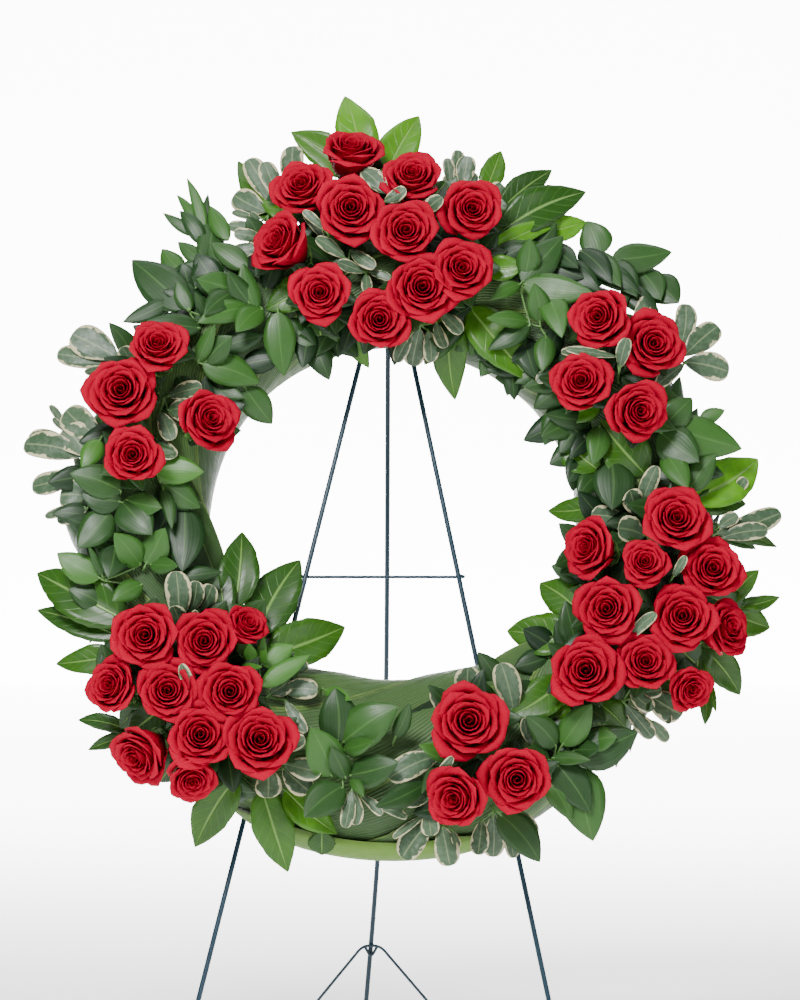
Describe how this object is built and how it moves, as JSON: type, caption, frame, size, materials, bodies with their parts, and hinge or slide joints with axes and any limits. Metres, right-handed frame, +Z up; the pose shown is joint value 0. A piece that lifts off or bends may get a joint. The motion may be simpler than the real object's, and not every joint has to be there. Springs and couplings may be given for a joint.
{
  "type": "funeral wreath on easel",
  "caption": "Round standing funeral wreath of red roses and mixed green foliage on a foam ring, hung on a folding wire easel.",
  "frame": {"origin": "on the floor, under the middle of the whole object's box", "axes": "+Z up, +X to the viewer's right as the flowers are seen, -Y towards the viewer"},
  "size_m": [0.7514, 0.5504, 0.9452],
  "materials": {
    "rose_petal": "velvety deep red petals, darker in the folds",
    "smooth_leaf": "smooth satin mid-green leaf with fine parallel veins",
    "glossy_leaf": "glossy bright green leaf with a pale rib and side veins",
    "variegated_leaf": "grey-green leaf with an uneven cream margin",
    "strap_leaf": "ribbed strap leaf, satin, paler at its edges",
    "floral_foam": "fine-celled wet floral foam",
    "easel_wire": "dark blue-green satin paint",
    "tie_wire": "dark green enamelled tie wire"
  },
  "bodies": {
    "front_frame": {"aralia_bottom_left": "glossy_leaf", "aralia_left": "glossy_leaf", "aralia_left_inner": "glossy_leaf", "aralia_right": "glossy_leaf", "aralia_right_inner": "glossy_leaf", "aralia_right_upper": "glossy_leaf", "aralia_top": "glossy_leaf", "aralia_top_bottom": "glossy_leaf", "aralia_top_lower": "glossy_leaf", "aralia_top_right": "glossy_leaf", "easel_cross_wire": "easel_wire", "easel_hook": "tie_wire", "easel_left_leg": "easel_wire", "easel_right_leg": "easel_wire", "easel_top_pin": "easel_wire", "foam_ring": "floral_foam", "pittosporum_bottom": "variegated_leaf", "pittosporum_bottom_left": "variegated_leaf", "pittosporum_bottom_near": "variegated_leaf", "pittosporum_left": "variegated_leaf", "pittosporum_left_lower": "variegated_leaf", "pittosporum_left_near": "variegated_leaf", "pittosporum_right": "variegated_leaf", "pittosporum_right_lower": "variegated_leaf", "pittosporum_shoulder": "variegated_leaf", "pittosporum_top_left": "variegated_leaf", "pittosporum_top_lower": "variegated_leaf", "pittosporum_top_right": "variegated_leaf", "roses_bottom": "rose_petal", "roses_left_lower": "rose_petal", "roses_left_outer": "rose_petal", "roses_left_upper": "rose_petal", "roses_right_lower": "rose_petal", "roses_right_middle": "rose_petal", "roses_right_upper": "rose_petal", "roses_shoulder": "rose_petal", "roses_shoulder_left": "rose_petal", "roses_top_far_left": "rose_petal", "roses_top_left": "rose_petal", "roses_top_lower": "rose_petal", "roses_top_right": "rose_petal", "ruscus_bottom_left": "smooth_leaf", "ruscus_bottom_right": "smooth_leaf", "ruscus_left": "smooth_leaf", "ruscus_left_bright": "smooth_leaf", "ruscus_left_inner": "smooth_leaf", "ruscus_left_shoulder": "smooth_leaf", "ruscus_right_upper": "smooth_leaf", "ruscus_shoots": "smooth_leaf", "ruscus_shoulder_far": "smooth_leaf", "ruscus_shoulder_near": "smooth_leaf", "ruscus_top_left": "smooth_leaf", "staple_left": "tie_wire", "staple_right": "tie_wire", "wrap_leaf_1": "strap_leaf", "wrap_leaf_2": "strap_leaf", "wrap_leaf_3": "strap_leaf", "wrap_leaf_4": "strap_leaf"},
    "rear_leg": {"easel_rear_leg": "easel_wire", "easel_rear_foot": "easel_wire"}
  },
  "joints": [
    {"name": "rear_leg_fold", "type": "hinge", "parent": "front_frame", "child": "rear_leg", "pos_m": [-0.0139, 0.00888, 0.75951], "axis": [1, 0, 0], "range_deg": [-30, 0]}
  ]
}
